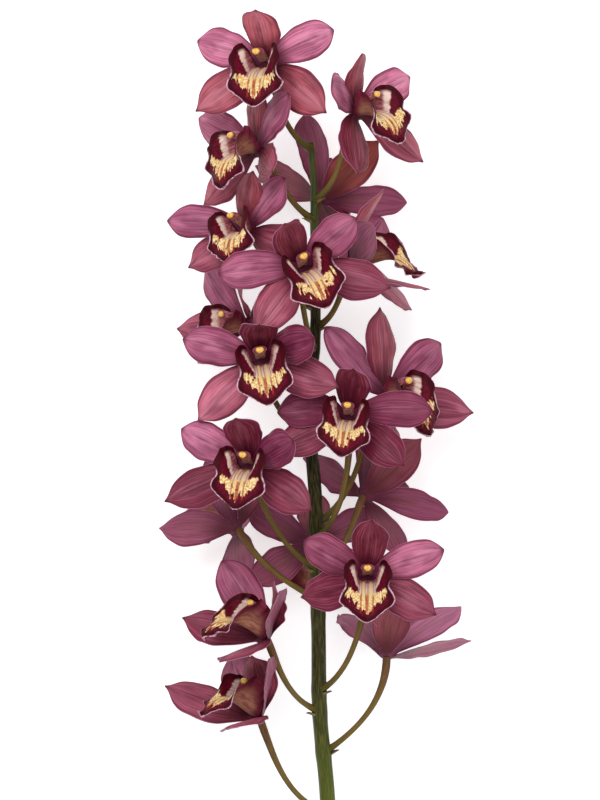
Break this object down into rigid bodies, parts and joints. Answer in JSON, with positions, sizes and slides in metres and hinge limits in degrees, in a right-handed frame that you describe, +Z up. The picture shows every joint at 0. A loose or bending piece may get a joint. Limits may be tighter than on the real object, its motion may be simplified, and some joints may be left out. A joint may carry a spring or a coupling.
{
  "type": "cymbidium orchid stem",
  "caption": "Cut cymbidium orchid stem lying down, with mauve blooms on arched stalks round its upper part and a bare cut end.",
  "frame": {"origin": "middle of the whole spray's box, at the table that it lies on", "axes": "+Y along the stem from its cut end to the top bloom, +Z up from the table, +X to the right as the spray is looked down on"},
  "size_m": [0.2056, 0.6421, 0.139],
  "materials": {
    "stem": "satin",
    "tepals": "satin",
    "lip": "satin",
    "column": "satin"
  },
  "bodies": {
    "root": {"stem": "stem", "bloom_01_tepals": "tepals", "bloom_01_lip": "lip", "bloom_01_column": "column", "bloom_02_tepals": "tepals", "bloom_02_lip": "lip", "bloom_02_column": "column", "bloom_03_tepals": "tepals", "bloom_03_lip": "lip", "bloom_03_column": "column", "bloom_04_tepals": "tepals", "bloom_04_lip": "lip", "bloom_04_column": "column", "bloom_05_tepals": "tepals", "bloom_05_lip": "lip", "bloom_05_column": "column", "bloom_06_tepals": "tepals", "bloom_06_lip": "lip", "bloom_06_column": "column", "bloom_07_tepals": "tepals", "bloom_07_lip": "lip", "bloom_07_column": "column", "bloom_08_tepals": "tepals", "bloom_08_lip": "lip", "bloom_08_column": "column", "bloom_09_tepals": "tepals", "bloom_09_lip": "lip", "bloom_09_column": "column", "bloom_10_tepals": "tepals", "bloom_10_lip": "lip", "bloom_10_column": "column", "bloom_11_tepals": "tepals", "bloom_11_lip": "lip", "bloom_11_column": "column", "bloom_12_tepals": "tepals", "bloom_12_lip": "lip", "bloom_12_column": "column", "bloom_13_tepals": "tepals", "bloom_13_lip": "lip", "bloom_13_column": "column", "bloom_14_tepals": "tepals", "bloom_14_lip": "lip", "bloom_14_column": "column", "bloom_15_tepals": "tepals", "bloom_15_lip": "lip", "bloom_15_column": "column", "bloom_16_tepals": "tepals", "bloom_16_lip": "lip", "bloom_16_column": "column", "bloom_17_tepals": "tepals", "bloom_17_lip": "lip", "bloom_17_column": "column", "bloom_18_tepals": "tepals", "bloom_18_lip": "lip", "bloom_18_column": "column", "bloom_19_tepals": "tepals", "bloom_19_lip": "lip", "bloom_19_column": "column"}
  },
  "joints": []
}
